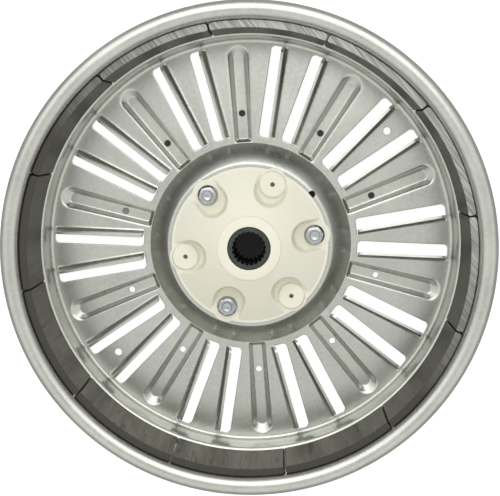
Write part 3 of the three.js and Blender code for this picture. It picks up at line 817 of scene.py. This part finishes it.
def bushing_top(r, a):
    """Height of the bushing's upper side: a cone with two slopes and a shallow groove at the collar's foot,
    lowered to a floor inside each pocket through a smooth wall, and raised again on each peg's boss."""
    cone_z = [COLLAR["top"] - COLLAR["step"], KNEE["z"], DISC["edge_z"]]
    z = np.interp(r, [COLLAR["r"], KNEE["r"], DISC["r"]], cone_z)
    z = z - COLLAR["groove"] * (1.0 - smooth_step(r, COLLAR["r"], COLLAR["groove_end"]))
    for angles, form in ((BOLT_ANGLES, BOLT_POCKET), (PEG_ANGLES, PEG_POCKET)):
        for angle in angles:
            off = apart(a, angle)
            x, y = r * np.cos(off), r * np.sin(off)
            beyond = np.hypot(np.minimum(x - form["centre"], 0.0), y) - form["radius"]
            beyond = np.where(x > 0, beyond, CLEAR)
            z = form["floor"] + (z - form["floor"]) * smooth_step(beyond, *POCKET_WALL)
            if form is PEG_POCKET:
                out = np.hypot(x - FIXING_R, y) - BOSS["radius"]
                drop = (BOSS["top"] - form["floor"]) * smooth_step(out, 0.0, BOSS["wall"])
                z = np.maximum(z, BOSS["top"] - drop)
    return z


def bushing_grid():
    """The bushing as one polar grid: out over the collar and the height field, round the disc's edge, in
    under the disc, down the pilot and the tail, and up the bore round the groove for the insert's collar."""
    a = np.linspace(0.0, 2 * np.pi, BUSHING_COLUMNS + 1)
    edge = disc_edge(a)
    level = list(COLLAR_TURN)
    for share in np.linspace(0.0, 1.0, BUSHING_ROWS + 1)[1:]:
        r = COLLAR["r"] + (edge - DISC["round"] - COLLAR["r"]) * share
        level.append((r, bushing_top(r, a)))
    rim_z = level[-1][1]
    level += [
        (edge - DISC["mid_round"], rim_z - DISC["mid_round"]), (edge, rim_z - DISC["round"]),
        (edge, DISC["underside"]), *UNDER_TURN,
    ]
    return shaped(level, BUSHING_COLUMNS)


class ROTOR_OT_bushing(bpy.types.Operator):
    """Moulded bushing with pockets for three bolts and three pegs"""

    bl_idname = "rotor.bushing"
    bl_label = "Bushing"

    def execute(self, context):
        pegs = [round_bar(FIXING_R, angle, *PEG) for angle in PEG_ANGLES]
        holes = [round_bar(FIXING_R, angle, *BOLT_HOLE) for angle in BOLT_ANGLES]
        holes += [round_bar(FIXING_R, angle, *PEG_HOLE) for angle in PEG_ANGLES]

        def modify(piece):
            return [cut_with(piece, "pegs", pegs, "UNION"), cut_with(piece, "fixing_holes", holes)]

        new_piece("moulded_bushing", [bushing_grid()], "cream_plastic", modify, 38.0, ["hub_bushing"])
        return {"FINISHED"}


# ---- splined insert and fasteners ------------------------------------------------------------

TEETH = 21
TOOTH_COLUMNS = 24
TOOTH = {"tip": 9.4, "root": 10.7, "root_share": 0.24, "tip_share": 0.37, "mouth": 10.3}
INSERT = {"top": 33.8, "bottom": 2.4, "bore_top": 32.9, "bore_bottom": 3.3}
# (r, z) from the front ring down over the collar to the rear ring
INSERT_TURN = (
    (12.95, 33.8), (13.3, 33.45), (13.3, 23.0), (16.0, 23.0), (16.0, 16.0), (13.3, 16.0), (13.3, 2.8),
    (12.9, 2.4),
)
FIXING_COLUMNS = 96
ACROSS_FLATS = 10.0
BOLT_SEAT = 17.5
NUT_SEAT = 12.6
HEAD = {"height": 4.4, "face_r": 4.7, "turn_off": 0.577}
FLANGE = {"inner": 5.4, "height": 1.6, "slope": 0.75}
FLANGE_EDGE = ((6.4, 0.85), (6.6, 0.6), (6.6, 0.0))  # (r, distance from the seat)
DIMPLE = ((0.0, 0.9), (1.0, 0.75), (2.4, 0.6), (2.9, 0.35), (3.15, 0.0))  # (r, depth below the head's face)
SHANK = ((2.9, 17.5), (2.9, 6.7), (2.2, 6.0), (0.0, 6.0))  # (r, z)
NUT = {"bore": 3.2, "lead_r": 3.5, "lead_z": 7.9, "face_z": 7.6}


def tooth_radius(columns):
    """Radius of the toothed bore: flat roots and tips joined by straight flanks."""
    share = np.linspace(0.0, TEETH, columns + 1)
    off = np.abs((share + 0.5) % 1.0 - 0.5)
    return np.interp(off, [TOOTH["root_share"], TOOTH["tip_share"]], [TOOTH["root"], TOOTH["tip"]])


def insert_grid():
    """The insert: front ring, collar, tail and toothed bore with a lead-in at both ends."""
    columns = TEETH * TOOTH_COLUMNS
    bore = tooth_radius(columns)
    mouth = np.maximum(bore, TOOTH["mouth"])
    return shaped([
        (mouth, INSERT["top"]), *INSERT_TURN, (mouth, INSERT["bottom"]), (bore, INSERT["bore_bottom"]),
        (bore, INSERT["bore_top"]), (mouth, INSERT["top"]),
    ], columns)


def hexagon_radius(columns):
    """Radius of a hexagon with a corner at angle zero."""
    a = np.linspace(0.0, 360.0, columns + 1)
    return ACROSS_FLATS / 2 / np.cos(np.radians(a % 60.0 - 30.0))


def flange_rise(r):
    """Height of a flange above its seat: level near the hexagon, then sloping to its edge."""
    return FLANGE["height"] - FLANGE["slope"] * np.clip(r - FLANGE["inner"], 0.0, None)


def crown(r):
    """How far the turned-off corners of a hexagon fall below its face."""
    return HEAD["turn_off"] * np.clip(r - HEAD["face_r"], 0.0, None)


def bolt_grid():
    """A flange bolt: dimpled head, crowned hexagon, flange and shank."""
    hexagon = hexagon_radius(FIXING_COLUMNS)
    top, foot = BOLT_SEAT + HEAD["height"], BOLT_SEAT + flange_rise(hexagon)
    return shaped([
        *[(r, top - depth) for r, depth in DIMPLE], (HEAD["face_r"], top), (hexagon, top - crown(hexagon)),
        (hexagon, foot), (np.maximum(hexagon, FLANGE["inner"]), foot),
        *[(r, BOLT_SEAT + rise) for r, rise in FLANGE_EDGE], *SHANK,
    ], FIXING_COLUMNS)


def nut_grid():
    """A flange nut that faces down."""
    hexagon = hexagon_radius(FIXING_COLUMNS)
    foot = NUT_SEAT - flange_rise(hexagon)
    return shaped([
        (NUT["bore"], NUT_SEAT), *[(r, NUT_SEAT - rise) for r, rise in reversed(FLANGE_EDGE)],
        (np.maximum(hexagon, FLANGE["inner"]), foot), (hexagon, foot),
        (hexagon, NUT["face_z"] + crown(hexagon)), (HEAD["face_r"], NUT["face_z"]),
        (NUT["lead_r"], NUT["face_z"]), (NUT["bore"], NUT["lead_z"]),
        (NUT["bore"], NUT_SEAT),
    ], FIXING_COLUMNS)


class ROTOR_OT_insert(bpy.types.Operator):
    """Splined steel insert in the middle of the bushing"""

    bl_idname = "rotor.insert"
    bl_label = "Insert"

    def execute(self, context):
        new_piece("toothed_insert", [insert_grid()], "dark_steel", stands_for=["splined_insert"])
        return {"FINISHED"}


class ROTOR_OT_fasteners(bpy.types.Operator):
    """Three flange bolts with their nuts"""

    bl_idname = "rotor.fasteners"
    bl_label = "Bolts and nuts"

    def execute(self, context):
        kinds = (("flange_bolt", bolt_grid(), "hub_bolt"), ("flange_nut", nut_grid(), "hub_nut"))
        for k, angle in enumerate(BOLT_ANGLES, 1):
            for name, grid, solid in kinds:
                placed = turned(moved(grid, FIXING_R, 0.0), angle)
                new_piece(f"{name}_{k}", [placed], "zinc_bolt", stands_for=[f"{solid}_{k}"])
        return {"FINISHED"}


# ---- stage ------------------------------------------------------------

FLOOR_HALF = 12.0
FLOOR_Z = -0.0003
CAMERA_SENSOR = 36.0
CAMERA_CLIP = (0.01, 20.0)
LAMP_SIZE = 1.7
LAMPS = (("key", (0.75, 0.55, 1.25)), ("fill", (0.15, 1.15, 1.15)))
ROOM = {
    "walls": (0.95, 0.95, 0.935), "overhead": (0.62, 0.625, 0.61),
    "patch": (0.74, 0.98),  # cosines of the angles from the ceiling's direction at its rim and in its middle
    "horizon": 0.42, "full_height": 0.5,  # light at the horizon, and how high up it is full
}
TABLE = {
    "hub": (0.058, 0.064),  # radii between which the painted shade below the hub ends
    "rib_holes": (0.091, 0.093),  # radii between which the painted shade below the ribs' holes ends
    "beside_rib": (0.07, 0.09),  # and the angles from a rib's middle line, in radians
    "shade_way": (0.64, 0.77, 0.0),  # direction towards the ribs whose holes lie in painted shade
    "shade_at": (-0.03, 0.03), "shade": 0.015,
    "Emission Color": ((0.012, 0.012, 0.012), (0.9, 0.9, 0.89)),
    "Base Color": ((0.01, 0.01, 0.01), (0.30, 0.30, 0.295)),
    "glow": (0.1, 1.0),  # strength as it lights other things, and as it is seen
}


def make_camera(scene, studio):
    """Camera that stands at one point and looks at another, turned to the given direction in the floor."""
    data = bpy.data.cameras.new("camera")
    data.lens = studio.lens
    data.sensor_width = CAMERA_SENSOR
    data.clip_start, data.clip_end = CAMERA_CLIP
    camera = bpy.data.objects.new("camera", data)
    scene.collection.objects.link(camera)
    back = (Vector(studio.camera_at) - Vector(studio.aim)).normalized()
    up = Vector((math.cos(studio.roll), math.sin(studio.roll), 0.0))
    right = up.cross(back).normalized()
    up = back.cross(right)
    turn = Matrix((right, up, back)).transposed().to_4x4()
    camera.matrix_world = Matrix.Translation(studio.camera_at) @ turn
    scene.camera = camera


def make_lamp(scene, name, power, place):
    """Round soft lamp that faces the rotor."""
    data = bpy.data.lights.new(name, "AREA")
    data.energy, data.size, data.shape = power, LAMP_SIZE, "DISK"
    lamp = bpy.data.objects.new(name, data)
    scene.collection.objects.link(lamp)
    lamp.location = place
    lamp.rotation_mode = "QUATERNION"
    lamp.rotation_quaternion = Vector(place).to_track_quat("Z", "Y")


def make_room(scene, studio):
    """Pale room all round, with a dimmer patch overhead and less light towards the horizon."""
    world = bpy.data.worlds.new("studio")
    scene.world = world
    world.use_nodes = True
    tree = world.node_tree
    background = tree.nodes["Background"]
    background.inputs["Strength"].default_value = studio.room
    way = node(tree, "ShaderNodeTexCoord", -900, 0).outputs["Generated"]
    toward = along(tree, way, Vector(studio.ceiling).normalized(), -700, 0)
    patch = spread(tree, toward, 0.0, 1.0, -500, 0, *ROOM["patch"])
    height = node(tree, "ShaderNodeSeparateXYZ", -700, -250, Vector=way).outputs["Z"]
    light = spread(tree, height, ROOM["horizon"], 1.0, -300, -250, 0.0, ROOM["full_height"])
    tone = blend_colours(tree, patch, ROOM["walls"], ROOM["overhead"], -200, 0)
    scaled = node(tree, "ShaderNodeVectorMath", 0, -50, operation="SCALE", Vector=tone, Scale=light)
    tree.links.new(scaled.outputs[0], background.inputs["Color"])


class ROTOR_OT_stage(bpy.types.Operator):
    """Pale floor, soft lights and camera"""

    bl_idname = "rotor.stage"
    bl_label = "Stage"

    def execute(self, context):
        studio = context.scene.rotor_studio
        floor_mesh = bpy.data.meshes.new("floor")
        corners = [(x * FLOOR_HALF, y * FLOOR_HALF, FLOOR_Z) for x, y in ((-1, -1), (1, -1), (1, 1), (-1, 1))]
        floor_mesh.from_pydata(corners, [], [(0, 1, 2, 3)])
        floor = bpy.data.objects.new("floor", floor_mesh)
        context.scene.collection.objects.link(floor)
        floor_mesh.materials.append(floor_material())
        make_camera(context.scene, studio)
        for name, place in LAMPS:
            make_lamp(context.scene, name, getattr(studio, f"{name}_power"), place)
        make_room(context.scene, studio)
        context.scene.view_settings.view_transform = "Standard"
        return {"FINISHED"}


def floor_material():
    """Pale matt table, lit from within except below the hub and below the holes in the ribs, where its
    colour and glow are darkened into painted shade. The angle folded into the ribs' pitch finds them."""
    material, tree, shader = new_material("pale_table", Roughness=0.9)
    seen = node(tree, "ShaderNodeLightPath", 150, -450).outputs["Is Camera Ray"]
    feed(tree, shader.inputs["Emission Strength"], spread(tree, seen, *TABLE["glow"], 350, -450, 0.0, 1.0))
    place, _, angle = object_place(tree, -1300, -100)
    reach = node(tree, "ShaderNodeVectorMath", -1100, 200, operation="LENGTH", Vector=place).outputs["Value"]
    lit = spread(tree, reach, 0.0, 1.0, -700, 200, *TABLE["hub"])
    shifted = maths(tree, "SUBTRACT", -750, -100, angle, math.radians(RIB_ANGLES[0]))
    folded = maths(tree, "PINGPONG", -600, -100, shifted, math.radians(RIB_ANGLES.step / 2))
    beside = spread(tree, folded, 0.0, 1.0, -400, -100, *TABLE["beside_rib"])
    beyond = spread(tree, reach, 0.0, 1.0, -400, 150, *TABLE["rib_holes"])
    open_floor = maths(tree, "MAXIMUM", -200, 0, beside, beyond)
    side = along(tree, place, TABLE["shade_way"], -900, -350)
    shade = spread(tree, side, 1.0, TABLE["shade"], -600, -350, *TABLE["shade_at"])
    glow = maths(tree, "MAXIMUM", 0, -100, open_floor, shade)
    both = maths(tree, "MULTIPLY", 150, 0, glow, lit)
    for name, y in (("Emission Color", -200), ("Base Color", 100)):
        feed(tree, shader.inputs[name], blend_colours(tree, both, *TABLE[name], 350, y))
    return material


class ROTOR_OT_finishes(bpy.types.Operator):
    """Finishes on the part's own solids"""

    bl_idname = "rotor.finishes"
    bl_label = "Finishes"

    def execute(self, context):
        slots = {subpart["node"]: subpart["material_slot"] for subpart in frame["record"]["subparts"]}
        for name, solid in frame["nodes"].items():
            solid.data.materials.clear()
            solid.data.materials.append(material_of(slots[name]))
        return {"FINISHED"}


class ROTOR_PT_panel(bpy.types.Panel):
    """Lists the rotor's operators"""

    bl_label = "Rotor"
    bl_space_type = "VIEW_3D"
    bl_region_type = "UI"
    bl_category = "Rotor"

    def draw(self, context):
        for operator in OPERATORS:
            self.layout.operator(operator.bl_idname)
        for name in GROUPS:
            group = getattr(context.scene, name)
            for key in group.__annotations__:
                self.layout.prop(group, key)


GROUPS = {"rotor_sizes": RotorSizes, "rotor_finish": RotorFinish, "rotor_studio": RotorStudio}
OPERATORS = (
    ROTOR_OT_finishes, ROTOR_OT_cup, ROTOR_OT_magnets, ROTOR_OT_bushing, ROTOR_OT_insert, ROTOR_OT_fasteners,
    ROTOR_OT_stage,
)


def register():
    for kind in (*GROUPS.values(), *OPERATORS, ROTOR_PT_panel):
        bpy.utils.register_class(kind)
    for name, group in GROUPS.items():
        setattr(bpy.types.Scene, name, PointerProperty(type=group))


def unregister():
    for name in GROUPS:
        delattr(bpy.types.Scene, name)
    for kind in (ROTOR_PT_panel, *reversed(OPERATORS), *GROUPS.values()):
        bpy.utils.unregister_class(kind)


def main():
    register()
    for operator in OPERATORS:
        category, name = operator.bl_idname.split(".")
        getattr(getattr(bpy.ops, category), name)()


if __name__ == "__main__":
    main()
